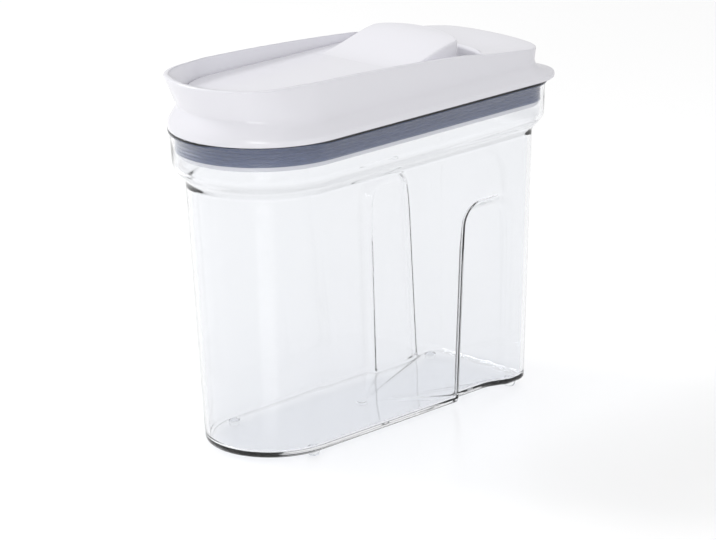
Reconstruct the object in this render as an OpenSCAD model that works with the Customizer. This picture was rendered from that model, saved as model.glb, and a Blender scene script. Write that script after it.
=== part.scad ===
// Cereal keeper with a flip spout, in millimetres.
// X runs along the length with the spout at -X, Z is up and the feet stand on z = 0.
// The plan of every layer is one D shape: a half-round front, straight sides and a flat back
// with rounded corners. A size u is how far a layer stands out from that shape's core.

/* [Container] */
// Width over the rim
rim_w = 110; // [96:1:132]
// Length over the rim, without the spout lip and the pull tab
rim_l = 243; // [203:1:292]
// Height of the rim above the table
rim_z = 188.5; // [157:0.5:230]
// Radius of the back corners at the rim
rim_corner_r = 24; // [22:0.5:28]
// How far the body stands in from the rim, just under the shoulder
shoulder_inset = 9; // [7.5:0.1:10]
// How far the body stands in from the rim, at the bottom
bottom_inset = 15; // [12:0.1:16.5]
// Height of the straight neck
neck_h = 20.5; // [19:0.5:24]
// Height of the curved shoulder under the neck
shoulder_h = 11; // [8:0.5:14]
// Wall of the container
wall = 2.3; // [1.8:0.1:2.8]
// Thickness of the container's floor
floor_t = 2.8; // [2:0.1:4]
// Rounding where the walls turn into the floor
bottom_r = 3; // [2:0.5:4]
// Height of the moulded feet
foot_h = 3; // [2:0.5:4]
// Radius of a moulded foot
foot_r = 3.6; // [2.5:0.1:4]

/* [Grip recess] */
// Width of a grip recess where it meets the wall
grip_w = 44; // [38:1:50]
// Height of the top of the recess above the table
grip_top = 123.5; // [100:0.5:135]
// Depth of the recess
grip_depth = 5.4; // [4:0.1:6.5]
// Radius of the recess's arched corners
grip_r = 14; // [10:0.5:18]
// Distance from the centre of the back corners to the middle of the recess
grip_back = 30.5; // [27:0.5:36]

/* [Lid] */
// How far the spout lip reaches past the rim
lip_out = 1.3; // [0:0.1:3]
// How far the pull tab reaches past the rim at the back
tab_out = 5.5; // [3:0.1:8]
// Height of the spout lip above the rim
lid_h = 32; // [30:0.5:36]
// Radius of the long arc that the lid's top edge follows
top_arc_r = 1920; // [1800:10:2600]
// Narrowest part of the lid's wall, measured in from the rim
waist_inset = 5.6; // [4.5:0.1:6.2]
// How far the top edge of a side stands in from the rim
side_inset = 8.4; // [7.5:0.1:8.8]
// Rise of the deck's middle over its side edges, at the back
deck_crown = 3.7; // [2:0.1:4.5]
// Wall of the lid's cover
cover_wall = 2.2; // [1.8:0.1:2.4]
// Height of the spout floor above the rim
well_floor_z = 15; // [14:0.5:16]
// Depth of the finger trough's floor, measured up from the rim
trough_floor_z = 5.5; // [5:0.1:6]
// Radius of the curved back edge of the trough
trough_r = 85; // [75:1:110]

/* [Pour opening] */
// Half width of the pour opening
pour_r = 30; // [26:0.5:31]
// Length of the straight part of the pour opening
pour_straight = 22; // [14:1:40]

/* [Flip cover] */
// Gap between the flip cover and the spout wall
flip_gap = 0.6; // [0.4:0.1:1]
// Height of the flip cover's flat part above the rim
flip_top_z = 21.5; // [21:0.1:22.5]
// Rise of the hump above the flat part
hump_rise = 9; // [7:0.5:9.5]
// Extra crown in the middle of the hump
hump_crown = 2.2; // [1:0.1:2.5]
// Half width of the hump
hump_half_w = 34; // [30:0.5:36]
// Radius of the hump's curved back edge
hump_r = 65; // [55:1:90]
// Skin of the flip cover
skin = 2; // [1.6:0.1:2.2]

/* [Hinge] */
// Diameter of the steel hinge pin
pin_d = 3; // [2.5:0.1:3.4]
// Distance from the back edge of the hump to the pin
pin_back = 14.5; // [13.5:0.5:16]
// Height of the pin above the rim
pin_z = 24; // [23.5:0.5:24.5]
// Radial clearance of the pin in the lid's lugs
pin_clear = 0.06; // [0.03:0.01:0.1]
// Radius of a hinge lug
lug_r = 4; // [3.5:0.1:4.2]
// Thickness of a hinge lug
lug_t = 4.5; // [3.5:0.5:6]

/* [Seals] */
// Height of the ribbed lid gasket
gasket_h = 11.2; // [9:0.2:11.4]
// Number of ribs round the gasket
gasket_ribs = 5; // [4:1:6]
// Gap left between the gasket's ribs and the neck
gasket_gap = 0.15; // [0.1:0.05:0.3]
// Thickness of the ring that seals the pour opening
ring_t = 2; // [1.6:0.1:2.4]

/* [Hidden] */
$fn = 96;
eps = 0.01;

// Shape of the plan
side_r = rim_w / 2;
core_w = side_r - rim_corner_r;
total_l = rim_l + lip_out + tab_out;
front_x = -total_l / 2 + lip_out + side_r;
rear_x = total_l / 2 - tab_out - rim_corner_r;

// Container layers, measured outward from the core and upward from the table
rim_u = rim_corner_r;
neck_top_u = rim_u - 0.9;
neck_low_u = rim_u - 1.9;
neck_low_z = rim_z - neck_h;
shoulder_z = neck_low_z - shoulder_h;
body_top_u = rim_u - shoulder_inset;
body_low_u = rim_u - bottom_inset;
body_z = foot_h;
bead_h = 2.2;
body_slope = (body_top_u - body_low_u) / (shoulder_z - body_z - bottom_r);
grip_x = rear_x - grip_back;
grip_slope = 13;
grip_draft = 3.4;
steps = 8;

function mix(a, b, t) = a + (b - a) * t;
function ease(t) = let (c = max(0, min(1, t))) c * c * (3 - 2 * c);

// Outer face of the container, from the floor up to the rim
outer_face = concat(
    [for (i = [0:steps]) let (t = 90 * i / steps)
        [body_low_u - bottom_r * (1 - sin(t)), body_z + bottom_r * (1 - cos(t))]],
    [for (i = [0:steps]) let (t = i / steps)
        [mix(body_top_u, neck_low_u, ease(t)), mix(shoulder_z, neck_low_z, t)]],
    [[neck_top_u, rim_z - bead_h], [rim_u - 0.2, rim_z - bead_h + 0.5], [rim_u, rim_z - bead_h + 0.9],
     [rim_u, rim_z - 0.3], [rim_u - 0.3, rim_z]]);

// Inner face, one wall inside it
cavity_z = body_z + floor_t;
inner_face = concat(
    [for (i = [0:steps]) let (t = 90 * i / steps)
        [body_low_u - wall - bottom_r * (1 - sin(t)), cavity_z + bottom_r * (1 - cos(t))]],
    [for (i = [0:steps]) let (t = i / steps)
        [mix(body_top_u, neck_low_u, ease(t)) - wall, mix(shoulder_z, neck_low_z, t) - 0.5]],
    [[neck_top_u - wall + 0.4, rim_z + eps]]);

// Half width of the neck's inner face at height z
function neck_u(z) =
    let (t = (z - neck_low_z) / (rim_z - neck_low_z))
    mix(neck_low_u - wall, neck_top_u - wall + 0.4, t);

// A solid with the D plan: face lists [u, z] from bottom to top
module d_solid(face) {
    low = face[0][1];
    top = face[len(face) - 1][1];
    fan = concat([[0, low]], face, [[0, top]]);
    // half-round front
    translate([front_x, 0, 0])
        rotate([0, 0, 90])
            rotate_extrude(angle = 180)
                polygon(concat([[0, low]], [for (p = face) [core_w + p[0], p[1]]], [[0, top]]));
    // straight sides
    translate([front_x, 0, 0])
        rotate([90, 0, 90])
            linear_extrude(height = rear_x - front_x)
                polygon(concat([for (p = face) [core_w + p[0], p[1]]],
                    [for (i = [len(face) - 1:-1:0]) [-core_w - face[i][0], face[i][1]]]));
    // flat back between its round corners
    translate([rear_x, core_w, 0])
        rotate([90, 0, 0])
            linear_extrude(height = 2 * core_w)
                polygon(fan);
    for (side = [-1, 1])
        translate([rear_x, side * core_w, 0])
            rotate([0, 0, side < 0 ? -90 : 0])
                rotate_extrude(angle = 90)
                    polygon(fan);
}

// A D-shaped band between two u values
module d_ring(inner_u, outer_u, low, high) {
    difference() {
        d_solid([[outer_u, low], [outer_u, high]]);
        d_solid([[inner_u, low - 1], [inner_u, high + 1]]);
    }
}

// A bar with round ends, lying along X over the pour opening
module oblong(r, low, high) {
    for (x = [front_x, front_x + pour_straight])
        translate([x, 0, low])
            cylinder(r = r, h = high - low);
    translate([front_x, -r, low])
        cube([pour_straight, 2 * r, high - low]);
}

// Moulded clear container

// The space of one grip recess on the +Y side, grown by g on every face. It leans with the wall.
module grip_space(g) {
    half = grip_w / 2 + g;
    top = grip_top - body_z - bottom_r + g;
    r = grip_r + g;
    foot = body_z + bottom_r + 1;
    translate([grip_x, core_w + body_low_u, body_z + bottom_r])
        rotate([-atan(body_slope), 0, 0])
            intersection() {
                // floor of the recess and its long slope out at the back, seen from above
                translate([0, 0, -foot])
                    linear_extrude(height = top + foot + 1)
                        polygon([[-half - 1, rim_corner_r], [-half - 1, -grip_depth - g],
                            [half - grip_slope, -grip_depth - g], [half, -g], [half + 1, rim_corner_r]]);
                // drafted front edge and arched top, seen from the side
                translate([0, rim_corner_r + 1, 0])
                    rotate([90, 0, 0])
                        linear_extrude(height = 2 * rim_corner_r)
                            union() {
                                polygon([[-half, -foot], [half + 1, -foot], [half + 1, top - r], [half - r, top],
                                    [-half + grip_draft + r, top], [-half + grip_draft, top - r]]);
                                for (x = [-half + grip_draft + r, half - r])
                                    translate([x, top - r])
                                        circle(r = r);
                            }
            }
}

module both_grips(g) {
    grip_space(g);
    mirror([0, 1, 0])
        grip_space(g);
}

foot_y = core_w + body_low_u - 2.4 - foot_r;
foot_xs = [front_x - 1.5, rear_x - 2.4];

module container() {
    color([0.86, 0.9, 0.93, 0.4]) {
        difference() {
            d_solid(outer_face);
            both_grips(0);
            difference() {
                d_solid(inner_face);
                both_grips(wall);
            }
        }
        // feet at the four corners
        for (x = foot_xs)
            for (side = [-1, 1])
                translate([x, side * foot_y, 0])
                    cylinder(r1 = foot_r - 0.6, r2 = foot_r, h = foot_h + eps);
        // gate mark in the middle of the floor
        translate([1, 0, cavity_z - eps])
            cylinder(r = 2.6, h = 0.4);
    }
}

// Lid cover: spout lip, side walls, deck and finger trough

lid_z = rim_z + 0.5;
waist_z = rim_z + 14;
waist_u = rim_u - waist_inset;
well_u = rim_u - side_inset - cover_wall + 0.4;
well_z = rim_z + well_floor_z;
trough_z = rim_z + trough_floor_z;
top_arc_x = front_x - 48.6;
seat_z = rim_z + 2.7;
trough_back_x = rear_x - 21;
hump_back_x = trough_back_x - 12;
pin_x = hump_back_x - pin_back;
trough_front_x = pin_x - 12.8;
flare_z = rim_z + 21;

// Height of the lid's top edge at x, and of the crowned deck at x, y
function top_z(x) = rim_z + lid_h - (x - top_arc_x) * (x - top_arc_x) / (2 * top_arc_r);
top_half_w = side_r - side_inset;
function deck_z(x, y) = top_z(x) + deck_crown * ease((x - trough_back_x + 30) / 60)
    * (1 - pow(min(1, abs(y) / top_half_w), 4));

// Stations round the plan: [x, y, outward x, outward y, spout weight, tab weight]
front_steps = 28;
side_steps = 7;
corner_steps = 7;
rear_steps = 6;
function station(x, y, t, front, back) = [x, y, cos(t), sin(t), front, back];
half_stations = concat(
    [for (i = [0:front_steps / 2]) let (t = 180 + 180 * i / front_steps)
        station(front_x + core_w * cos(t), core_w * sin(t), t, 1 - ease((t - 180 - 34) / 44), 0)],
    [for (i = [1:side_steps - 1])
        station(mix(front_x, rear_x, i / side_steps), -core_w, 270, 0, 0)],
    [for (i = [0:corner_steps]) let (t = 270 + 90 * i / corner_steps)
        station(rear_x, -core_w, t, 0, ease(1.4 * i / corner_steps))],
    [for (i = [1:rear_steps / 2])
        station(rear_x, -core_w * (1 - 2 * i / rear_steps), 0, 0, 1)]);
last = len(half_stations) - 1;
stations = concat(half_stations,
    [for (i = [last - 1:-1:1]) let (s = half_stations[i]) [s[0], -s[1], s[2], -s[3], s[4], s[5]]]);
count = len(stations);

// Outer wall of the cover as layers from the bottom edge to the top edge.
// Above a short upright edge the wall slopes in to its waist and then runs out to the spout lip.
// At the back it starts as the pull tab and turns up in a concave arc.
flare_steps = 6;
rise_steps = 6;
edge_h = 3;
tab_top_z = rim_z + 3.8;
tab_arc_z = rim_z + 11;
top_k = 2 + flare_steps + rise_steps;
function cover_u(s, k) =
    let (tab = s[5] * tab_out, back = waist_u - 1.2)
    k == 0 ? rim_u - 0.5 + tab * 0.85 :
    k == 1 ? rim_u + tab :
    k == 2 ? rim_u - 0.1 + tab * 0.97 :
    k <= 2 + flare_steps ?
        let (t = (k - 2) / flare_steps)
        mix(mix(rim_u - 0.1, waist_u, sin(90 * t)), mix(rim_u - 0.5 + tab_out * 0.9, back, sin(90 * t)), s[5]) :
    let (t = (k - 2 - flare_steps) / rise_steps,
        side = mix(waist_u, rim_u - side_inset, t),
        lip = mix(waist_u, rim_u + lip_out, pow(t, 1.25)))
    mix(mix(side, lip, s[4]), back, s[5]);
function cover_z(s, k) =
    k == 0 ? lid_z :
    k == 1 ? lid_z + 1 :
    k == 2 ? mix(rim_z + edge_h, rim_z + 3, s[5]) :
    k <= 2 + flare_steps ?
        let (t = (k - 2) / flare_steps)
        mix(mix(rim_z + edge_h, waist_z, mix(t, 1 - cos(90 * t), 0.35)), mix(tab_top_z, tab_arc_z, 1 - cos(90 * t)),
            s[5]) :
    let (t = (k - 2 - flare_steps) / rise_steps)
    mix(mix(waist_z, tab_arc_z, s[5]), edge_z(s), t);
function cover_top_x(s) = s[0] + s[2] * cover_u_top(s);
function cover_u_top(s) = cover_u(s, top_k);
function edge_z(s) = deck_z(cover_top_x(s), s[1] + s[3] * cover_u_top(s));

// Well wall: follows the outer wall at the lip and stands straight beside the flip cover
function well_top_u(s) = cover_u_top(s) - mix(cover_wall - 0.4, 3, s[4]);
function well_ring_u(s, t) = mix(well_u, well_top_u(s), pow(t, 1.4));
function well_ring_z(s, t) = mix(flare_z, edge_z(s), t);

function ring(us, zs) = [for (i = [0:count - 1]) let (s = stations[i])
    [s[0] + s[2] * us[i], s[1] + s[3] * us[i], zs[i]]];

// Closed skin over rings of count points each. The bottom is flat strips across the plan, and the
// top is rows across it that follow the crowned deck.
module skin_solid(rings, crowned = false) {
    n = count;
    m = rear_steps;
    last_row = n / 2 - m / 2;
    layers = len(rings);
    top = rings[layers - 1];
    walls = [for (k = [0:layers - 2]) for (i = [0:n - 1]) let (j = (i + 1) % n)
        each [[k * n + i, (k + 1) * n + i, (k + 1) * n + j], [k * n + i, (k + 1) * n + j, k * n + j]]];
    low_cap = concat(
        [for (i = [0:last_row - 2]) let (a = i, b = i + 1, c = n - i - 1, d = (n - i) % n)
            each concat(a == d ? [] : [[a, b, d]], [[b, c, d]])],
        [for (i = [last_row:n - last_row]) [last_row - 1, i, i + 1]]);
    inner = [for (i = [1:last_row - 1]) for (j = [1:m - 1])
        let (a = top[i], b = top[n - i], x = mix(a[0], b[0], j / m), y = mix(a[1], b[1], j / m))
        [x, y, crowned ? deck_z(x, y) : a[2]]];
    base = (layers - 1) * n;
    function row(i, j) =
        j == 0 ? base + i :
        i == last_row ? base + i + j :
        j == m ? base + n - i :
        base + n + (i - 1) * (m - 1) + j - 1;
    high_cap = concat(
        [for (j = [0:m - 1]) [row(1, j + 1), row(1, j), base]],
        [for (i = [1:last_row - 1]) for (j = [0:m - 1])
            each [[row(i, j + 1), row(i + 1, j + 1), row(i + 1, j)], [row(i, j + 1), row(i + 1, j), row(i, j)]]]);
    polyhedron(points = concat([for (r = rings) each r], inner), faces = concat(walls, low_cap, high_cap),
        convexity = 6);
}

module cover_form() {
    skin_solid([for (k = [0:top_k])
        ring([for (s = stations) cover_u(s, k)], [for (s = stations) cover_z(s, k)])], crowned = true);
}

// Everything in front of the curved back edge of the trough, grown by g
module ahead_of_trough(g, low, high) {
    translate([trough_back_x - trough_r, 0, low])
        cylinder(r = trough_r + g, h = high - low);
    translate([-total_l, -rim_w, low])
        cube([total_l + trough_back_x - trough_r, 2 * rim_w, high - low]);
}

module well_space() {
    over = 6;
    difference() {
        intersection() {
            skin_solid(concat(
                [ring([for (s = stations) well_u], [for (s = stations) trough_z])],
                [for (t = [0, 0.2, 0.4, 0.6, 0.8, 1])
                    ring([for (s = stations) well_ring_u(s, t)], [for (s = stations) well_ring_z(s, t)])],
                [ring([for (s = stations) well_top_u(s) + s[4] * 2],
                    [for (s = stations) edge_z(s) + over])]));
            ahead_of_trough(0, rim_z, rim_z + 2 * lid_h);
        }
        // spout floor in front of the finger trough
        translate([-total_l, -rim_w, 0])
            cube([total_l + trough_front_x, 2 * rim_w, well_z]);
    }
}

// Hollow under the cover, which the base closes
module cover_hollow() {
    floor_low = well_z - cover_wall;
    inner = [[rim_u - cover_wall, rim_z], [rim_u - cover_wall, seat_z], [rim_u - cover_wall - 2.2, seat_z],
        [waist_u - cover_wall, waist_z - 3], [waist_u - cover_wall - 0.6, floor_low]];
    difference() {
        d_solid(inner);
        // trough walls hang into the hollow
        intersection() {
            ahead_of_trough(cover_wall, trough_z - 1.8, rim_z + lid_h);
            translate([trough_front_x - cover_wall, -rim_w, trough_z - 1.8])
                cube([total_l, 2 * rim_w, 2 * lid_h]);
        }
        // wall round the pour opening
        oblong(pour_r + cover_wall, seat_z, well_z);
    }
    // space under the deck
    intersection() {
        d_solid([[waist_u - cover_wall - 1.8, floor_low - 1], [waist_u - cover_wall - 1.8, rim_z + lid_h]]);
        difference() {
            translate([trough_back_x - 30, 0, 0])
                rotate([90, 0, 0])
                    linear_extrude(height = rim_w, center = true)
                        polygon([[0, floor_low - 1], [70, floor_low - 1], [70, top_z(trough_back_x + 40) - cover_wall],
                            [0, top_z(trough_back_x - 30) - cover_wall - 0.6]]);
            ahead_of_trough(cover_wall, 0, 2 * rim_z);
        }
    }
}

lug_y = 18;
lug_side_gap = 0.8;
liner_lug_y = lug_y + lug_t + lug_side_gap;

// Hinge lug that reaches back from the front wall of the trough to the pin
module cover_lug(y) {
    low = trough_z + 4;
    translate([0, y + lug_t / 2, 0])
        rotate([90, 0, 0])
            linear_extrude(height = lug_t)
                union() {
                    translate([pin_x, rim_z + pin_z])
                        circle(r = lug_r);
                    polygon([[trough_front_x - 1, low], [pin_x, rim_z + pin_z - lug_r],
                        [pin_x, rim_z + pin_z + lug_r - 1], [pin_x - lug_r, rim_z + pin_z + 1],
                        [trough_front_x - 1, well_z + 0.2]]);
                }
}

module pin_hole(r) {
    translate([pin_x, 0, rim_z + pin_z])
        rotate([90, 0, 0])
            cylinder(r = r, h = rim_w, center = true);
}

module lid_cover() {
    color([0.93, 0.93, 0.95])
        difference() {
            union() {
                difference() {
                    cover_form();
                    well_space();
                    cover_hollow();
                    oblong(pour_r, rim_z, rim_z + lid_h);
                }
                // narrow ring that stands on the container's rim
                d_ring(rim_u - cover_wall + 0.3, rim_u - 1.2, rim_z, lid_z + 1);
                for (side = [-1, 1])
                    cover_lug(side * lug_y);
            }
            pin_hole(pin_d / 2 + pin_clear);
        }
}

// Lid base: closes the cover, guides the cereal and carries the gasket

base_t = 2;
groove_depth = 1.8;
groove_low = rim_z - 11.8;
groove_high = groove_low + gasket_h;
skirt_low = groove_low - 2.6;
skirt_t = 2;
fit_gap = 0.15;
function skirt_u(z) = neck_u(z) - 1;
groove_u = skirt_u(groove_low) - groove_depth;

module lid_base() {
    color([0.9, 0.9, 0.92])
        difference() {
            union() {
                // plate that seats against the step inside the cover
                d_solid([[rim_u - cover_wall - fit_gap, seat_z - base_t], [rim_u - cover_wall - fit_gap, seat_z]]);
                // skirt that hangs in the neck
                d_solid([[skirt_u(skirt_low) - 0.6, skirt_low], [skirt_u(skirt_low), skirt_low + 0.6],
                    [skirt_u(groove_low), groove_low], [groove_u, groove_low], [groove_u, groove_high],
                    [skirt_u(groove_high), groove_high], [skirt_u(seat_z - base_t), seat_z - base_t + eps]]);
                // rib that locates the base on the wall of the pour opening
                oblong(pour_r + cover_wall + fit_gap + 1.6, seat_z - eps, seat_z + 4);
            }
            // open underside inside the skirt
            difference() {
                d_solid([[groove_u - skirt_t, skirt_low - 1], [groove_u - skirt_t, seat_z - base_t - 0.1]]);
                oblong(pour_r + cover_wall, 0, rim_z + lid_h);
            }
            oblong(pour_r, 0, rim_z + lid_h);
            oblong(pour_r + cover_wall + fit_gap, seat_z, rim_z + lid_h);
        }
}

// Lid gasket: soft ribbed band in the skirt's groove

module lid_gasket() {
    band_t = 1;
    pitch = gasket_h / gasket_ribs;
    rib_root = 0.36;
    outer = concat(
        [[groove_u + band_t, groove_low + 0.1]],
        [for (i = [0:gasket_ribs - 1]) let (z = groove_low + pitch * (i + 0.5))
            each [[groove_u + band_t, z - pitch * rib_root], [neck_u(z) - gasket_gap, z - pitch * 0.12],
                [neck_u(z) - gasket_gap, z + pitch * 0.12], [groove_u + band_t, z + pitch * rib_root]]],
        [[groove_u + band_t, groove_high - 0.1]]);
    color([0.42, 0.48, 0.6])
        difference() {
            d_solid(outer);
            d_solid([[groove_u, groove_low - 1], [groove_u, groove_high + 1]]);
        }
}

// Flip cover: flat tongue with a hump that tips down into the trough

flip_u = well_u - flip_gap;
flip_low = well_z + 0.4;
flip_top = rim_z + flip_top_z;
hump_start = hump_back_x - 58;
hump_end = hump_back_x - 6;
hump_corner_r = 3;
shoulder_x = pin_x - 3;
hump_low = rim_z + pin_z - 5.5;
hump_cols = 20;
hump_rows = 22;

// Plan of the hump's back edge, set in by g
function hump_back(y, g) =
    let (half = hump_half_w - g, r = hump_r - g, edge = max(0, abs(y) - half + hump_corner_r))
    hump_back_x - g - (r - sqrt(r * r - y * y))
    - (hump_corner_r - sqrt(max(0, hump_corner_r * hump_corner_r - edge * edge)));
// Top of the hump
function hump_z(x, y) =
    flip_top - 0.05 + ease((x - hump_start) / (hump_end - hump_start))
    * (hump_rise + hump_crown * (1 - y * y / (hump_half_w * hump_half_w)));

// Hump set in by g on every face, from height low upward
module hump_form(g, low) {
    half = hump_half_w - g;
    x0 = hump_start - 4 + g;
    side_lean = 0.8;
    // closer spacing near the rounded back corners
    function col_y(j) = let (t = 2 * j / hump_cols - 1) half * (abs(t) < 1 ? sin(90 * t) : t);
    function row_x(i, y) = mix(x0, hump_back(y, g), i / hump_rows);
    n = hump_cols + 1;
    top = [for (i = [0:hump_rows]) for (j = [0:hump_cols])
        let (y = col_y(j), x = row_x(i, y)) [x, y, hump_z(x, y) - g * 1.02]];
    bottom = [for (i = [0:hump_rows]) for (j = [0:hump_cols])
        let (y = col_y(j), x = row_x(i, y)) [x, y * (1 + side_lean / half), low]];
    total = n * (hump_rows + 1);
    top_faces = [for (i = [0:hump_rows - 1]) for (j = [0:hump_cols - 1]) let (a = i * n + j)
        each [[a, a + 1, a + n], [a + 1, a + n + 1, a + n]]];
    bottom_faces = [for (f = top_faces) [f[2] + total, f[1] + total, f[0] + total]];
    edge = concat([for (j = [0:hump_cols]) j], [for (i = [1:hump_rows]) i * n + hump_cols],
        [for (j = [hump_cols - 1:-1:0]) hump_rows * n + j], [for (i = [hump_rows - 1:-1:1]) i * n]);
    edges = len(edge);
    side_faces = [for (k = [0:edges - 1]) let (a = edge[k], b = edge[(k + 1) % edges])
        each [[b, a, a + total], [b, a + total, b + total]]];
    polyhedron(points = concat(top, bottom), faces = concat(top_faces, bottom_faces, side_faces), convexity = 6);
}

module flip_cover() {
    color([0.94, 0.94, 0.95])
        difference() {
            union() {
                // flat tongue, as far back as the hinge
                intersection() {
                    d_solid([[flip_u - 0.6, flip_low], [flip_u, flip_low + 0.6], [flip_u, flip_top - 0.8],
                        [flip_u - 0.8, flip_top]]);
                    translate([-total_l, -rim_w, 0])
                        cube([total_l + shoulder_x, 2 * rim_w, 2 * rim_z]);
                }
                hump_form(0, hump_low);
            }
            // hollow under the tongue
            intersection() {
                d_solid([[flip_u - skin, flip_low - 1], [flip_u - skin, flip_top - skin]]);
                translate([-total_l, -rim_w, 0])
                    cube([total_l + shoulder_x - skin, 2 * rim_w, 2 * rim_z]);
            }
            // hollow under the hump
            hump_form(skin, flip_low - 2);
            translate([hump_start, -hump_half_w + skin, flip_low - 1])
                cube([shoulder_x - hump_start + 12, 2 * (hump_half_w - skin), hump_low - flip_low + 1.5]);
        }
}

// Flip liner: closes the flip cover from below, carries the seal and the hinge pin

liner_t = 1.6;
liner_low = flip_low + 0.2;
plug_depth = 5;
plug_r = pour_r - 1;
seal_groove_low = liner_low - 3.6;

module liner_lug(side) {
    translate([0, side * liner_lug_y + lug_t / 2, 0])
        rotate([90, 0, 0])
            linear_extrude(height = lug_t)
                union() {
                    translate([pin_x, rim_z + pin_z])
                        circle(r = lug_r);
                    polygon([[pin_x - lug_r, liner_low], [pin_x + lug_r, liner_low],
                        [pin_x + lug_r, rim_z + pin_z], [pin_x - lug_r, rim_z + pin_z]]);
                }
}

module flip_liner() {
    liner_u = flip_u - skin - fit_gap;
    color([0.9, 0.9, 0.91])
        difference() {
            union() {
                intersection() {
                    d_solid([[liner_u, liner_low], [liner_u, liner_low + liner_t]]);
                    translate([-total_l, -rim_w, 0])
                        cube([total_l + shoulder_x - skin - fit_gap, 2 * rim_w, 2 * rim_z]);
                }
                // tongue under the hump that carries the hinge lugs
                translate([shoulder_x - skin - 1, -hump_half_w + skin + 2, liner_low])
                    cube([lug_r + skin + 1 + 3, 2 * (hump_half_w - skin - 2), liner_t]);
                // plug that hangs in the pour opening
                difference() {
                    oblong(plug_r, liner_low - plug_depth, liner_low + eps);
                    oblong(plug_r - 2, liner_low - plug_depth - 1, liner_low);
                }
                for (side = [-1, 1])
                    liner_lug(side);
            }
            // groove for the seal
            difference() {
                oblong(plug_r + 1, seal_groove_low, seal_groove_low + ring_t);
                oblong(plug_r - 1, seal_groove_low - 1, seal_groove_low + ring_t + 1);
            }
            // slots that the cover's lugs stand in
            for (side = [-1, 1])
                translate([trough_front_x - 3, side * lug_y - lug_t / 2 - 0.5, liner_low - 1])
                    cube([pin_back + 16, lug_t + 1, liner_t + 2]);
            pin_hole(pin_d / 2);
        }
}

// Flip seal: soft ring round the plug

module flip_seal() {
    color([0.5, 0.55, 0.63])
        difference() {
            oblong(pour_r - gasket_gap, seal_groove_low + 0.1, seal_groove_low + ring_t - 0.1);
            oblong(plug_r - 1, seal_groove_low - 1, seal_groove_low + ring_t + 1);
        }
}

// Steel pin pressed into the liner's lugs

module hinge_pin() {
    pin_l = 2 * liner_lug_y + lug_t;
    color([0.75, 0.76, 0.78])
        translate([pin_x, 0, rim_z + pin_z])
            rotate([90, 0, 0])
                cylinder(r = pin_d / 2, h = pin_l, center = true);
}

container();
lid_cover();
lid_base();
lid_gasket();
flip_cover();
flip_liner();
flip_seal();
hinge_pin();
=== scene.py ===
import math

import bmesh
import bpy
from mathutils import Matrix, Vector


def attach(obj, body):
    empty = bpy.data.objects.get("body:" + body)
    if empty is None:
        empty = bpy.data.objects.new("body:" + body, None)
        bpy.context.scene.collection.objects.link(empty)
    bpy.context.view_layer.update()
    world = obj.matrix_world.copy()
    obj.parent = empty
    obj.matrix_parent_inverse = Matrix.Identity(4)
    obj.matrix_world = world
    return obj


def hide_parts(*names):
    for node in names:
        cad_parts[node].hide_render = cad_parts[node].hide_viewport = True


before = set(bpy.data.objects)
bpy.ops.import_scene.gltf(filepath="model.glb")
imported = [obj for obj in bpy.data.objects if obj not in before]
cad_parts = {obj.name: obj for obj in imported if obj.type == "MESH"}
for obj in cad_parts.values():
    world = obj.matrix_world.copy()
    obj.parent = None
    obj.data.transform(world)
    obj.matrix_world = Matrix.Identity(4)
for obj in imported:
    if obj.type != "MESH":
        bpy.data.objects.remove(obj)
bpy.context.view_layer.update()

# The camera stands at the spout end's left, a little above the rim, with a long lens.
camera = bpy.data.objects.new("camera", bpy.data.cameras.new("camera"))
bpy.context.collection.objects.link(camera)
bpy.context.scene.camera = camera
camera.data.sensor_width = 36
camera.data.lens = 173.65
camera.data.clip_start = 0.1
camera.data.clip_end = 50
turn, tilt, roll = math.radians(-44.17), math.radians(17.06), math.radians(-1.32)
back = Vector((math.sin(turn) * math.cos(tilt), -math.cos(turn) * math.cos(tilt), math.sin(tilt)))
right = (-back).cross(Vector((0, 0, 1))).normalized()
up = right.cross(-back)
across = right * math.cos(roll) + up * math.sin(roll)
upward = up * math.cos(roll) - right * math.sin(roll)
aim, distance = Vector((0.00118, 0, 0.08643)), 2.0119
axes = Matrix((across, upward, back)).transposed().to_4x4()
camera.matrix_world = Matrix.Translation(aim + back * distance) @ axes

# Clear container: one thick-walled moulding in clear plastic. The wall tapers from a stepped neck to a
# rounded floor, and a grip recess with an arched top is pressed into each side near the back.

# sizes in mm: the plan's core, which each outline runs some distance u outside of, and the rim
front_x, rear_x, core = -68.6, 95.4, 31
rim_u, rim_z = 24, 188.5


def mix(a, b, t):
    """The value that stands at share t of the way from a to b."""
    return a + (b - a) * t


def ease(t):
    """A smooth step from 0 to 1."""
    t = min(1.0, max(0.0, t))
    return t * t * (3 - 2 * t)


def d_outline(front, side_xs, corner, rear):
    """Places round the plan's core as (x, y, angle), anticlockwise from the middle of the front."""
    half = [(front_x + core * math.cos(math.radians(t)), core * math.sin(math.radians(t)), t)
            for t in (180 + 90 * i / front for i in range(front))]
    half += [(x, -core, 270) for x in side_xs]
    half += [(rear_x, -core, 270 + 90 * i / corner) for i in range(1, corner + 1)]
    half += [(rear_x, -core + core * i / rear, 360) for i in range(1, rear + 1)]
    return half + [(x, -y, 360 - t) for x, y, t in half[-2:0:-1]]


def skin(mesh, rings, close=False):
    """Joins each ring of points to the next; close joins the last ring to the first."""
    made = [[mesh.verts.new(p) for p in ring] for ring in rings]
    pairs = list(zip(made, made[1:])) + ([(made[-1], made[0])] if close else [])
    for a, b in pairs:
        for i in range(len(a)):
            j = (i + 1) % len(a)
            mesh.faces.new((a[i], a[j], b[j], b[i]))
    return made


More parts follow.
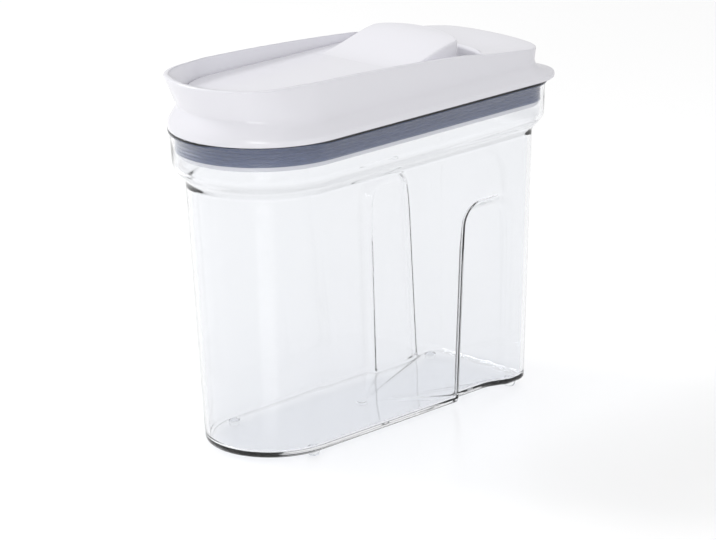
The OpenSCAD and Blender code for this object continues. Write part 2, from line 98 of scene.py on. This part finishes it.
def finish_piece(name, mesh, material, sharp=35):
    """Welds the seams, turns millimetres into metres, faces the surface outward and marks sharp edges."""
    bmesh.ops.remove_doubles(mesh, verts=mesh.verts, dist=0.0004)
    bmesh.ops.dissolve_degenerate(mesh, edges=mesh.edges, dist=0.0002)
    bmesh.ops.scale(mesh, vec=(0.001, 0.001, 0.001), verts=mesh.verts)
    bmesh.ops.recalc_face_normals(mesh, faces=mesh.faces)
    data = bpy.data.meshes.new(name)
    mesh.to_mesh(data)
    mesh.free()
    for face in data.polygons:
        face.use_smooth = True
    data.set_sharp_from_angle(angle=math.radians(sharp))
    data.materials.append(material)
    piece = bpy.data.objects.new(name, data)
    bpy.context.collection.objects.link(piece)
    return piece


def spaced(*runs):
    """Values from runs of (start, step, how many)."""
    return [start + step * i for start, step, number in runs for i in range(number)]


# the faint mottle that each surface has at its own scale
mottle = bpy.data.node_groups.new("mottle", "ShaderNodeTree")
mottle.interface.new_socket("Scale", in_out="INPUT", socket_type="NodeSocketFloat")
mottle.interface.new_socket("Amount", in_out="OUTPUT", socket_type="NodeSocketFloat")
given = mottle.nodes.new("NodeGroupInput")
gives = mottle.nodes.new("NodeGroupOutput")
place = mottle.nodes.new("ShaderNodeTexCoord")
noise = mottle.nodes.new("ShaderNodeTexNoise")
mottle.links.new(place.outputs["Object"], noise.inputs["Vector"])
mottle.links.new(given.outputs["Scale"], noise.inputs["Scale"])
mottle.links.new(noise.outputs["Fac"], gives.inputs["Amount"])


def new_material(name, scale):
    """A new material with its nodes, links and shader, and the mottle's value at that scale."""
    material = bpy.data.materials.new(name)
    material.use_nodes = True
    nodes, links = material.node_tree.nodes, material.node_tree.links
    grain = nodes.new("ShaderNodeGroup")
    grain.node_tree = mottle
    grain.inputs["Scale"].default_value = scale
    return material, nodes, links, nodes["Principled BSDF"], grain.outputs["Amount"]


def vary_roughness(nodes, links, shader, amount, least, most):
    """Lets the roughness follow the mottle between two values."""
    spread = nodes.new("ShaderNodeMapRange")
    spread.inputs["To Min"].default_value = least
    spread.inputs["To Max"].default_value = most
    links.new(amount, spread.inputs["Value"])
    links.new(spread.outputs["Result"], shader.inputs["Roughness"])


def vary_colour(nodes, links, shader, amount, one, other):
    """Lets the colour follow the mottle between two colours."""
    blend = nodes.new("ShaderNodeMix")
    blend.data_type = "RGBA"
    blend.inputs[6].default_value = one
    blend.inputs[7].default_value = other
    links.new(amount, blend.inputs[0])
    links.new(blend.outputs[2], shader.inputs["Base Color"])


clear, nodes, links, shader, amount = new_material("clear_plastic", 90)
shader.inputs["Base Color"].default_value = (0.912, 0.92, 0.935, 1)
shader.inputs["Transmission Weight"].default_value = 1
shader.inputs["IOR"].default_value = 1.5
vary_roughness(nodes, links, shader, amount, 0, 0.03)
# lamps and soft light pass through the clear wall
passes = nodes.new("ShaderNodeBsdfTransparent")
passes.inputs["Color"].default_value = (0.93, 0.935, 0.945, 1)
path = nodes.new("ShaderNodeLightPath")
light_ray = nodes.new("ShaderNodeMath")
light_ray.operation = "MAXIMUM"
links.new(path.outputs["Is Shadow Ray"], light_ray.inputs[0])
links.new(path.outputs["Is Diffuse Ray"], light_ray.inputs[1])
choose = nodes.new("ShaderNodeMixShader")
links.new(light_ray.outputs[0], choose.inputs["Fac"])
links.new(shader.outputs["BSDF"], choose.inputs[1])
links.new(passes.outputs["BSDF"], choose.inputs[2])
links.new(choose.outputs["Shader"], nodes["Material Output"].inputs["Surface"])

grip_front, grip_rear, grip_top, grip_bend, grip_depth = 41.9, 86.9, 125, 14, 5.4
# the stations along the side that move to the recess's front and rear ends, and all of them
front_station, rear_station = 43, 87
around = d_outline(36, spaced((front_x, 11, 10), (40.5, 0.5, 4), (42.4, 0.24, 11), (45.3, 0.55, 22),
                              (58, 1.6, 9), (73, 0.8, 21), (91.5, 2, 2), (rear_x, 1, 1)), 12, 8)


def grip_ends(z, grow):
    """Front and rear end of the grip recess at height z. The front end leans back a little."""
    return grip_front + 0.03 * z - grow, grip_rear + grow


def recess(x, z, grow):
    """How deep the grip recess is at x, z, with an outline that is wider by grow."""
    front, rear = grip_ends(z, grow)
    ahead, behind, under = x - front, rear - x, grip_top + grow - z
    bend, near = grip_bend + grow, min(ahead, behind)
    if max(near, under) < bend:
        inside = bend - math.hypot(bend - near, bend - under)
    else:
        inside = min(near, under)
    # towards the rear the recess runs out in a long slope, rounded at both ends
    slope = behind / 13
    if slope < 0.3:
        slope = max(0.0, slope + 0.3) ** 2 / 1.2
    elif slope > 0.7:
        slope -= (min(slope, 1.3) - 0.7) ** 2 / 1.2
    edge = 4.2 + 2.5 * ease((z - 98) / 22)
    return grip_depth * ease(inside / edge) * min(slope, 1.0)


def wall_ring(u, z, grow=0.0):
    """Ring u outside the plan's core at height z, with the grip recesses pressed in."""
    ring = []
    for x, y, t in around:
        a = math.radians(t)
        if t in (90, 270):
            front, rear = grip_ends(z, grow)
            if x < front_station:
                x = mix(front_x, front, (x - front_x) / (front_station - front_x))
            elif x < rear_station:
                x = mix(front, rear, (x - front_station) / (rear_station - front_station))
            else:
                x = mix(rear, rear_x, (x - rear_station) / (rear_x - rear_station))
            depth = recess(x, z, grow)
            ring.append((x, y + u * math.sin(a) + (depth if y < 0 else -depth), z))
        else:
            ring.append((x + u * math.cos(a), y + u * math.sin(a), z))
    return ring


def gate_ring(ring, r, z):
    """Circle about the gate in the middle of the floor, one point for each point of ring."""
    gate_x = 1
    angles = [math.atan2(y, x - gate_x) for x, y, _ in ring]
    return [(gate_x + r * math.cos(a), r * math.sin(a), z) for a in angles]


# the skins as (u, z): floor, rounded heel, tapered wall, shoulder, neck and rim bead
floor_low, floor_high, heel = 3, 5.8, 3
levels = spaced((6, 11.3, 9), (107, 0.62, 30)) + [126.2, 130, 138, 147]
turns = [math.radians(a) for a in range(0, 91, 15)]
steps = [i / 12 for i in range(13)]
outside = [(9 - heel * (1 - math.sin(a)), floor_low + heel * (1 - math.cos(a))) for a in turns[:-1]]
outside += [(mix(9, 15, (z - 6) / 151), z) for z in levels]
outside += [(mix(15, 22.1, ease(t)), mix(157, 168, t)) for t in steps]
outside += [(22.6, 177), (23.08, 186.1), (23.3, 186.35), (23.75, 186.55), (23.95, 186.8)]
outside += [(rim_u, 187.1), (rim_u, 188.3), (23.96, 188.44), (23.85, rim_z)]
inside = [(21.4, rim_z), (21.2, 188.3), (20.6, 177)]
inside += [(mix(12.7, 19.8, ease(t)), mix(154.5, 169.5, t)) for t in reversed(steps)]
inside += [(mix(6.7, 12.7, (z - 8.8) / 147.7), z) for z in reversed(levels[1:])]
inside += [(6.7 - heel * (1 - math.cos(a)), floor_high + heel * (1 - math.sin(a))) for a in turns]
outer = [wall_ring(u, z) for u, z in outside]
inner = [wall_ring(u, z, 0.575) for u, z in inside]
below = [gate_ring(outer[0], r, floor_low) for r in (2.2, 3.6, 6)]
gate_rise = ((6, 0), (3.5, 0), (3.1, 0.04), (2.7, 0.16), (2.3, 0.24), (1.8, 0.26))
above = [gate_ring(inner[-1], r, floor_high + rise) for r, rise in gate_rise]
mesh = bmesh.new()
rings = skin(mesh, below + outer + inner + above)
mesh.faces.new(list(reversed(rings[0])))
mesh.faces.new(rings[-1])
container = finish_piece("container_shell", mesh, clear, sharp=85)
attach(container, "container")
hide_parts("container")

# Feet: four small round pads of the same clear plastic, moulded in one with the container's floor.
# Each is a turned profile that tapers to a flat face on the table.
mesh = bmesh.new()
for x, y in ((-70.1, -34), (-70.1, 34), (93, -34), (93, 34)):
    profile = [(0, 0), (2.4, 0), (2.8, 0.12), (3.05, 0.5), (3.6, 3.02), (0, 3.02)]
    made = [mesh.verts.new((x + r, y, z)) for r, z in profile]
    edges = [mesh.edges.new(pair) for pair in zip(made, made[1:])]
    bmesh.ops.spin(mesh, geom=made + edges, cent=(x, y, 0), axis=(0, 0, 1), angle=2 * math.pi,
                   steps=32, use_merge=True)
feet = finish_piece("container_feet", mesh, clear)
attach(feet, "container")

# Lid cover: one satin white moulding. Its waisted wall flares out to the spout lip in front, the deck
# and the finger trough fill the back, and the foot of the wall runs out into the pull tab.
white, nodes, links, shader, amount = new_material("white_plastic", 1800)
shader.inputs["IOR"].default_value = 1.46
vary_roughness(nodes, links, shader, amount, 0.2, 0.27)
vary_colour(nodes, links, shader, amount, (0.795, 0.79, 0.835, 1), (0.815, 0.81, 0.855, 1))
bump = nodes.new("ShaderNodeBump")
bump.inputs["Strength"].default_value = 0.04
bump.inputs["Distance"].default_value = 0.0002
links.new(amount, bump.inputs["Height"])
links.new(bump.outputs["Normal"], shader.inputs["Normal"])

spout_floor, trough_floor = 203.5, 194
trough_x, mouth_end = 35.1, 61.6
side_xs = spaced((front_x, 7.8, 13)) + [trough_x - 0.05, trough_x + 0.05, 40, 46, 52, 58, mouth_end]
side_xs += [66, 72, 78, 84, 90, rear_x]
around = d_outline(44, side_xs, 16, 12)
count = len(around)
middle = count // 2
corner = next(i for i, p in enumerate(around) if p[0] == mouth_end)
trough_front = next(i for i, p in enumerate(around) if trough_x < p[0] < 36)


def lip_share(t):
    """1 round the spout's front, 0 along the sides and at the back."""
    return 1 - ease((abs(t - 180) - 34) / 44) if 90 < t < 270 else 0.0


def tab_share(t):
    """1 at the back, 0 along the sides and in front."""
    return ease(1.4 * min(abs(t - 270), abs(t - 90)) / 90) if t > 270 or t < 90 else 0.0


# the lid's top is an arc that is highest just behind the lip's edge, and its deck is crowned
top_x, top_height, top_radius = -117.2, 220.5, 1920
step_drop, crown_rise, rear_bow, deck_half = 0.9, 3.2, 1.9, 48


def deck_z(x, y):
    """Height of the lid's top: a long arc from end to end, a small step down and a crowned deck."""
    arc = top_height - (x - top_x) ** 2 / (2 * top_radius)
    step = step_drop * ease((x - 42) / 24)
    crown = crown_rise * ease((x - 77) / 36) * (1 - min(1.0, abs(y) / deck_half) ** 2.5)
    return arc - step + crown


def wall_point(place, u, z):
    """Point of the lid's wall, u out from the rim and z up from it."""
    x, y, t = place
    a = math.radians(t)
    return x + (rim_u + u) * math.cos(a), y + (rim_u + u) * math.sin(a), rim_z + z


def rear_swell(place):
    """How far the top of the back wall bows out, most in its middle."""
    if place[0] <= 80:
        return 0.0
    return rear_bow * tab_share(place[2]) * (1 - (place[1] / deck_half) ** 2)


# how far out the wall's top edge is at the sides, at the lip and at the back
side_u, lip_u, back_u = -8.4, 1.3, -6.8


def top_u(place):
    """How far out the lid's outer top edge is."""
    t = place[2]
    return mix(mix(side_u, lip_u, lip_share(t)), back_u, tab_share(t)) + rear_swell(place)


def top_z(place):
    """How far above the rim the lid's outer top edge is."""
    x, y, _ = wall_point(place, top_u(place), 0)
    return deck_z(x, y) - rim_z


# foot of the wall, which runs out into the tab at the back
rings = []
for z, u, tab in ((0.1, -0.5, 0.84), (0.18, -0.22, 0.9), (0.42, -0.04, 0.96), (1.1, 0, 1), (2.1, 0, 1)):
    rings.append([wall_point(p, u + 5.5 * tab * tab_share(p[2]), z) for p in around])
for z, tab_z, u, tab_u in ((2.5, 2.6, -0.01, 5.42), (2.8, 3.15, -0.05, 5.2), (2.95, 3.6, -0.08, 4.8)):
    rings.append([wall_point(p, mix(u, tab_u, tab_share(p[2])), mix(z, tab_z, tab_share(p[2])))
                  for p in around])

# shoulder as (z, u): short and folded at the sides, a long slope in front, a plain curve at the back
fold = ((3.05, -0.12), (3.2, -0.28), (3.5, -0.65), (4.0, -1.35), (4.6, -2.2), (5.3, -3.2),
        (6.0, -4.2), (6.7, -5.1), (7.4, -5.9), (8.1, -6.5), (8.8, -6.95), (9.6, -7.25),
        (10.6, -7.45), (11.8, -7.55), (13.0, -7.62), (14, -7.68))
slope = ((3.1, -0.12), (3.5, -0.2), (4.2, -0.36), (5.0, -0.62), (5.9, -0.98), (6.8, -1.4),
         (7.7, -1.86), (8.6, -2.34), (9.5, -2.84), (10.4, -3.34), (11.3, -3.84), (12.1, -4.28),
         (12.8, -4.64), (13.4, -4.9), (13.9, -5.05), (14.3, -5.1))
curve_top = 11
for i, ((fold_z, fold_u), (slope_z, slope_u)) in enumerate(zip(fold, slope)):
    quarter = (i + 1) / len(fold) * math.pi / 2
    curve_u = mix(4.45, back_u, math.sin(quarter))
    curve_z = mix(3.8, curve_top, 1 - math.cos(quarter))
    ring = []
    for p in around:
        w, b = lip_share(p[2]), tab_share(p[2])
        u, z = mix(fold_u, slope_u, w), mix(fold_z, slope_z, w)
        ring.append(wall_point(p, mix(u, curve_u, b), mix(z, curve_z, b)))
    rings.append(ring)

# upper wall, nearly upright at the sides and flared to the lip in front, and its rounded top edge
upper = 14
for i in range(1, upper + 1):
    t = i / upper
    ring = []
    for p in around:
        w, b = lip_share(p[2]), tab_share(p[2])
        u = mix(mix(fold[-1][1], side_u, t), mix(slope[-1][1], lip_u, t), w)
        ring.append(wall_point(p, mix(u, back_u, b) + t * rear_swell(p),
                               mix(mix(14.15, curve_top, b), top_z(p) - 0.9, t)))
    rings.append(ring)
for drop, inward in ((0.55, 0.08), (0.25, 0.27), (0.07, 0.55), (0.0, 0.9)):
    rings.append([wall_point(p, top_u(p) - inward, top_z(p) - drop) for p in around])
outer_edge = rings[-1]

# inner edge of the lip, the side walls and, behind them, the trough's back edge, an arc
arc_x, arc_r, arc_half = -10.6, 85, 44.8
side_in = -10.2
lengths = [0.0]
for a, b in zip(outer_edge, outer_edge[1:]):
    lengths.append(lengths[-1] + math.hypot(b[0] - a[0], b[1] - a[1]))


def near_side(i):
    """The station on the near side that mirrors station i, or i itself."""
    return i if i <= middle else count - i


def share(i, first):
    """0 at station first and 1 at the middle of the back, the same on both sides."""
    j = near_side(i)
    return (lengths[j] - lengths[first]) / (lengths[middle] - lengths[first])


def mouth(i, at_top):
    """Plan point of the inner edge at station i, at the top or further down."""
    j = near_side(i)
    if j <= corner:
        u = mix(side_in, -1.7, lip_share(around[j][2])) if at_top else side_in
        x, y, _ = wall_point(around[j], u, 0)
    else:
        y = -arc_half * (1 - share(j, corner))
        x = arc_x + math.sqrt(arc_r ** 2 - y ** 2)
    return x, (y if i <= middle else -y)


def behind(i):
    """True where the station's inner edge is the back of the trough."""
    return corner < i < count - corner


# deck and the top of the wall, then the rounded inner edge and the wall under it
for t in (0.06, 0.14, 0.24, 0.36, 0.5, 0.64, 0.76, 0.86, 0.93):
    ring = []
    for i in range(count):
        mx, my = mouth(i, True)
        x, y = mix(outer_edge[i][0], mx, t), mix(outer_edge[i][1], my, t)
        ring.append((x, y, deck_z(x, y)))
    rings.append(ring)
for a in turns:
    ring = []
    for i in range(count):
        mx, my = mouth(i, True)
        ox, oy = outer_edge[i][0] - mx, outer_edge[i][1] - my
        reach = math.hypot(ox, oy)
        if behind(i):
            r = mix(0.6, 2.2, ease(5 * share(i, corner)))
        else:
            r = mix(0.6, 0.9, lip_share(around[i][2]))
        out = r * (1 - math.sin(a))
        x, y = mx + ox / reach * out, my + oy / reach * out
        ring.append((x, y, deck_z(x, y) - r * (1 - math.cos(a))))
    rings.append(ring)
edge = rings[-1]
for k in range(1, 11):
    t = 1 - k / 10
    ring = []
    for i in range(count):
        (ax, ay), (bx, by) = mouth(i, False), mouth(i, True)
        # upright at its foot, the wall leans out more and more towards its edge
        low_z = 205.5 if behind(i) else 209.5
        ring.append((mix(ax, bx, t ** 1.4), mix(ay, by, t ** 1.4), mix(low_z, edge[i][2], t)))
    rings.append(ring)


def in_trough(i):
    """True where the station's inner wall stands in the trough."""
    return trough_front <= i <= count - trough_front


def floor_ring(inset, rise):
    """Foot of the inner wall: the spout floor in front, the trough floor behind."""
    ring = []
    for i in range(count):
        x, y = mouth(i, False)
        y -= math.copysign(inset, y) * min(1.0, abs(y) / 10)
        if x < front_x:
            x += inset
        elif behind(i):
            x -= inset
        ring.append((x, y, (trough_floor if in_trough(i) else spout_floor) + rise))
    return ring


rings += [floor_ring(0, 1.4), floor_ring(0.2, 0.7), floor_ring(0.7, 0.2), floor_ring(1.4, 0)]
ends = rings[-1]
# the trough's front wall, which steps up to the spout floor
trough_half = 43.4
for x, z in ((trough_x + 0.05, trough_floor), (trough_x, spout_floor)):
    ring = []
    for i in range(count):
        if in_trough(i):
            ring.append((x, math.copysign(trough_half * (1 - share(i, trough_front)), ends[i][1]), z))
        else:
            ring.append(ends[i])
    rings.append(ring)


pour_r, pour_back = 30, -46.6


def pour_ring(r, z):
    """Ring round the oblong pour opening."""
    ring = []
    for i in range(count):
        j = near_side(i)
        x, _, t = around[j]
        if x <= front_x:
            px, py = front_x + r * math.cos(math.radians(t)), r * math.sin(math.radians(t))
        elif j < trough_front:
            px, py = mix(front_x, pour_back, (x - front_x) / (trough_x - front_x)), -r
        else:
            a = math.radians(270 + 90 * (j - trough_front) / (middle - trough_front))
            px, py = pour_back + r * math.cos(a), r * math.sin(a)
        ring.append((px, py if i <= middle else -py, z))
    return ring


# spout floor, the pour opening's collar and, under them, the hollow that the lid base closes
seat_z, hollow_z = 191.2, 201.3
for out, z in ((0.7, spout_floor), (0.2, 203.35), (0, 202.9), (0, seat_z), (2.2, seat_z), (2.2, hollow_z)):
    rings.append(pour_ring(pour_r + out, z))
under = [(min(x, 33), y * 0.98, hollow_z) for x, y, _ in ends]
rings.append(under)
rings.append([(x, y, 192.2 if in_trough(i) else hollow_z) for i, (x, y, _) in enumerate(under)])
for u, z, trough_z in ((-9.7, 12.8, 3.7), (-9.4, 7.7, 3.6), (-8.8, 6.6, 3.5)):
    rings.append([wall_point(p, u, trough_z if in_trough(i) else z) for i, p in enumerate(around)])
rings.append([wall_point(p, -4.4, seat_z - rim_z) for p in around])
# a short lip drops just inside the container's rim
for u, z in ((-3.9, -0.6), (-3.0, -0.6), (-2.9, 0.1)):
    rings.append([wall_point(p, u, z) for p in around])
mesh = bmesh.new()
skin(mesh, rings, close=True)
cover = finish_piece("lid_cover_shell", mesh, white, sharp=38)
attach(cover, "lid")
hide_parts("lid_cover")

# Hinge lugs: two short arms of white plastic, moulded in one with the lid cover. They reach back over
# the trough, and their rounded ends hold the pin.
pin_x, pin_z = 47.9, 212.5
eye_r, arm_foot, arm_width = 4, 34.1, 4.5
mesh = bmesh.new()
for y in (-18, 18):
    outline = [(arm_foot, 198), (pin_x, pin_z - eye_r)]
    outline += [(pin_x + eye_r * math.cos(math.radians(a)), pin_z + eye_r * math.sin(math.radians(a)))
                for a in range(-75, 166, 15)]
    outline += [(arm_foot, 203.7)]
    face = mesh.faces.new([mesh.verts.new((x, y - arm_width / 2, z)) for x, z in outline])
    grown = bmesh.ops.extrude_face_region(mesh, geom=[face])["geom"]
    corners = [part for part in grown if isinstance(part, bmesh.types.BMVert)]
    bmesh.ops.translate(mesh, vec=(0, arm_width, 0), verts=corners)
lugs = finish_piece("lid_hinge_lugs", mesh, white, sharp=30)
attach(lugs, "lid")

# Lid gasket: one band of slate-blue silicone with five rounded ribs, held in the skirt's groove and
# pressed against the inside of the neck, where it shows through the clear wall.
blue, nodes, links, shader, amount = new_material("blue_silicone", 400)
shader.inputs["Roughness"].default_value = 0.42
vary_colour(nodes, links, shader, amount, (0.09, 0.12, 0.22, 1), (0.11, 0.14, 0.245, 1))

around = d_outline(40, spaced((front_x, 41, 5)), 14, 2)
band_low, ribs, rib_pitch = 176.8, 5, 2.2
back_face, groove = -5.1, -4.1
section = [(back_face, band_low), (groove, band_low)]
for i in range(12 * ribs):
    z = band_low + rib_pitch * i / 12
    reach = (1 - math.cos(2 * math.pi * i / 12)) / 2
    # the ribs reach the neck's tapered bore, short of it by a hair
    bore = mix(19.8, 21.5, (z - 168) / 20.5)
    section.append((mix(groove, bore - 0.15 - rim_u, reach ** 1.4), z))
band_top = band_low + ribs * rib_pitch
section += [(groove, band_top), (back_face, band_top)]
rings = [[wall_point(p, u, z - rim_z) for p in around] for u, z in section]
mesh = bmesh.new()
skin(mesh, rings, close=True)
gasket = finish_piece("lid_gasket_band", mesh, blue, sharp=50)
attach(gasket, "lid")
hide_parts("lid_gasket")

# Lid base: the lid's inner moulding in plain white plastic, shown as the frame gives it. It closes the
# cover from below, and its skirt carries the gasket in the neck.
inner_white = white.copy()
inner_white.name = "inner_white_plastic"
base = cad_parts["lid_base"]
base.data.materials.clear()
base.data.materials.append(inner_white)

# Flip cover: white tongue that fills the spout. At its back a crowned hump stands over the hinge and
# tips into the trough when it is pressed.


def tongue_ring(u, z, back_x):
    """Ring u outside the core, with a straight back at back_x."""
    reach = core + u
    half = [(front_x + reach * math.cos(math.radians(180 + 90 * i / 44)),
             reach * math.sin(math.radians(180 + 90 * i / 44)), z) for i in range(45)]
    half += [(mix(front_x, back_x, i / 16), -reach, z) for i in range(1, 17)]
    half += [(back_x, -reach * (1 - i / 8), z) for i in range(1, 9)]
    return half + [(x, -y, z) for x, y, z in half[-2:0:-1]]


tongue = ((11.2, 208, 42.9), (11.2, 204.1, 42.9), (12.5, 203.9, 44.4), (12.9, 204.0, 44.7),
          (13.2, 204.5, 44.9), (13.2, 208.9, 44.9), (13.1, 209.4, 44.8), (12.85, 209.75, 44.6),
          (12.5, 209.93, 44.3), (12.0, 210, 43.8))
mesh = bmesh.new()
rings = skin(mesh, [tongue_ring(u, z, back_x) for u, z, back_x in tongue])
mesh.faces.new(rings[0])
mesh.faces.new(rings[-1])

hump_x, hump_half, hump_rise, hump_crown = 62.4, 34, 9.7, 1.5
hump_front, hump_base, feet_z = 1.0, 209.95, 207
rows, cols = 72, 56


def hump_back(y, inset):
    """Where the hump's back edge is at y: an arc with small rounded corners."""
    half, r, corner_r = hump_half - inset, 65 - inset, 3
    over = max(0.0, abs(y) - half + corner_r)
    corner_cut = corner_r - math.sqrt(max(0.0, corner_r ** 2 - over * over))
    return hump_x - inset - (r - math.sqrt(r * r - y * y)) - corner_cut


def hump_grid(inset):
    """The hump's skin as a grid of points, inset from the outside."""
    grid = []
    for i in range(rows + 1):
        line = []
        for j in range(cols + 1):
            y = (hump_half - inset) * math.sin((j / cols - 0.5) * math.pi)
            x = mix(hump_front + inset, hump_back(y, inset), 1 - (1 - i / rows) ** 1.7)
            rise = ease((x - 4.4) / 52)
            crown = hump_crown * (1 - abs(y / hump_half) ** 3)
            z = hump_base + hump_rise * rise + crown * rise - inset
            if inset == 0:
                for room, r in ((hump_half - abs(y), 1.3), (hump_back(y, 0) - x, 1.6)):
                    z -= r - math.sqrt(r * r - (r - min(room, r)) ** 2)
            line.append((x, y, z))
        grid.append(line)
    return grid


skins = [[[mesh.verts.new(p) for p in line] for line in hump_grid(inset)] for inset in (0, 2)]
rims = []
for grid in skins:
    for a, b in zip(grid, grid[1:]):
        for j in range(cols):
            mesh.faces.new((a[j], a[j + 1], b[j + 1], b[j]))
    rim = list(grid[0]) + [line[-1] for line in grid[1:]] + list(reversed(grid[-1][:-1]))
    rims.append(rim + [line[0] for line in reversed(grid[1:-1])])
walls = [[mesh.verts.new((v.co.x, v.co.y, feet_z)) for v in rim] for rim in rims]
walls = [rims[0]] + walls + [rims[1]]
for a, b in zip(walls, walls[1:]):
    for i in range(len(a)):
        j = (i + 1) % len(a)
        mesh.faces.new((a[i], a[j], b[j], b[i]))
flip = finish_piece("flip_cover_shell", mesh, white, sharp=38)
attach(flip, "flip")
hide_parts("flip_cover")

# Flip liner and its seal: a white inner moulding that closes the flip from below and plugs the pour
# opening, and the soft blue ring round that plug. Both are shown as the frame gives them.
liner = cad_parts["flip_liner"]
liner.data.materials.clear()
liner.data.materials.append(inner_white)
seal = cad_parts["flip_seal"]
seal.data.materials.clear()
seal.data.materials.append(blue)

# Hinge pin: a short rod of ground steel, shown as the frame gives it. It is pressed into the liner's
# ears and turns in the lid's lugs.
steel, nodes, links, shader, amount = new_material("pin_steel", 900)
shader.inputs["Metallic"].default_value = 1
vary_colour(nodes, links, shader, amount, (0.56, 0.57, 0.59, 1), (0.66, 0.67, 0.69, 1))
vary_roughness(nodes, links, shader, amount, 0.25, 0.4)
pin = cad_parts["hinge_pin"]
pin.data.materials.clear()
pin.data.materials.append(steel)

# Studio: a white table that keeps a soft shadow, white surroundings with a greyer room on the
# camera's side, and four soft lamps.
mesh = bmesh.new()
bmesh.ops.create_grid(mesh, x_segments=1, y_segments=1, size=6)
data = bpy.data.meshes.new("table")
mesh.to_mesh(data)
mesh.free()
table = bpy.data.objects.new("table", data)
bpy.context.collection.objects.link(table)
paper = bpy.data.materials.new("table_paper")
paper.use_nodes = True
nodes, links = paper.node_tree.nodes, paper.node_tree.links
shader = nodes["Principled BSDF"]
shader.inputs["Base Color"].default_value = (0.93, 0.93, 0.93, 1)
shader.inputs["Roughness"].default_value = 0.25


def seen_ray(nodes, links):
    """1 on the rays that show the background: to the camera, off a gloss or through the clear wall."""
    path = nodes.new("ShaderNodeLightPath")
    first = nodes.new("ShaderNodeMath")
    second = nodes.new("ShaderNodeMath")
    first.operation = second.operation = "MAXIMUM"
    links.new(path.outputs["Is Camera Ray"], first.inputs[0])
    links.new(path.outputs["Is Transmission Ray"], first.inputs[1])
    links.new(first.outputs[0], second.inputs[0])
    links.new(path.outputs["Is Glossy Ray"], second.inputs[1])
    return first.outputs[0], second.outputs[0]


glow = nodes.new("ShaderNodeEmission")
lift = nodes.new("ShaderNodeMath")
lift.operation = "MULTIPLY"
lift.inputs[1].default_value = 0.15
links.new(seen_ray(nodes, links)[1], lift.inputs[0])
links.new(lift.outputs[0], glow.inputs["Strength"])
both = nodes.new("ShaderNodeAddShader")
links.new(shader.outputs["BSDF"], both.inputs[0])
links.new(glow.outputs["Emission"], both.inputs[1])
links.new(both.outputs["Shader"], nodes["Material Output"].inputs["Surface"])
data.materials.append(paper)

world = bpy.data.worlds.new("studio")
bpy.context.scene.world = world
world.use_nodes = True
nodes, links = world.node_tree.nodes, world.node_tree.links
room = nodes["Background"]
heading = nodes.new("ShaderNodeTexCoord")
toward = nodes.new("ShaderNodeVectorMath")
toward.operation = "DOT_PRODUCT"
toward.inputs[1].default_value = (0.62, 0.78, 0)
links.new(heading.outputs["Generated"], toward.inputs[0])
sides = nodes.new("ShaderNodeMapRange")
sides.interpolation_type = "SMOOTHSTEP"
sides.inputs["From Min"].default_value = -0.75
sides.inputs["From Max"].default_value = 0.5
sides.inputs["To Min"].default_value = 0.44
sides.inputs["To Max"].default_value = 0.7
links.new(toward.outputs["Value"], sides.inputs["Value"])
apart = nodes.new("ShaderNodeSeparateXYZ")
links.new(heading.outputs["Generated"], apart.inputs[0])
sky = nodes.new("ShaderNodeMapRange")
sky.interpolation_type = "SMOOTHSTEP"
sky.inputs["From Min"].default_value = 0.25
sky.inputs["From Max"].default_value = 0.85
sky.inputs["To Min"].default_value = 0
sky.inputs["To Max"].default_value = 1
links.new(apart.outputs["Z"], sky.inputs["Value"])
level = nodes.new("ShaderNodeMix")
level.inputs[3].default_value = 0.85
links.new(sky.outputs["Result"], level.inputs[0])
links.new(sides.outputs["Result"], level.inputs[2])
links.new(level.outputs[0], room.inputs["Strength"])
backdrop = nodes.new("ShaderNodeBackground")
backdrop.inputs["Color"].default_value = (1, 1, 1, 1)
blend = nodes.new("ShaderNodeMixShader")
links.new(seen_ray(nodes, links)[0], blend.inputs["Fac"])
links.new(room.outputs["Background"], blend.inputs[1])
links.new(backdrop.outputs["Background"], blend.inputs[2])
links.new(blend.outputs["Shader"], nodes["World Output"].inputs["Surface"])
room.inputs["Color"].default_value = (1, 1, 1, 1)


def lamp(name, place, width, height, power, mirrored=True):
    """A soft lamp that faces the piece. One that isn't mirrored shows in no gloss."""
    light = bpy.data.lights.new(name, "AREA")
    light.shape = "RECTANGLE"
    light.size = width
    light.size_y = height
    light.energy = power
    piece = bpy.data.objects.new(name, light)
    piece.location = place
    piece.visible_glossy = mirrored
    piece.rotation_mode = "QUATERNION"
    piece.rotation_quaternion = (Vector((0, 0, 0.15)) - Vector(place)).to_track_quat("-Z", "Y")
    bpy.context.collection.objects.link(piece)


lamp("key", (-0.55, 1.25, 1.25), 0.45, 0.45, 11)
lamp("left", (-1.75, -0.1, 0.4), 0.8, 1.2, 1.8, False)
lamp("right", (0.5, -1.7, 0.45), 0.9, 0.9, 1.2, False)
lamp("low_strip", (-1.34, -1.13, 0.62), 0.75, 0.08, 6.5)

bpy.context.scene.view_settings.view_transform = "Standard"
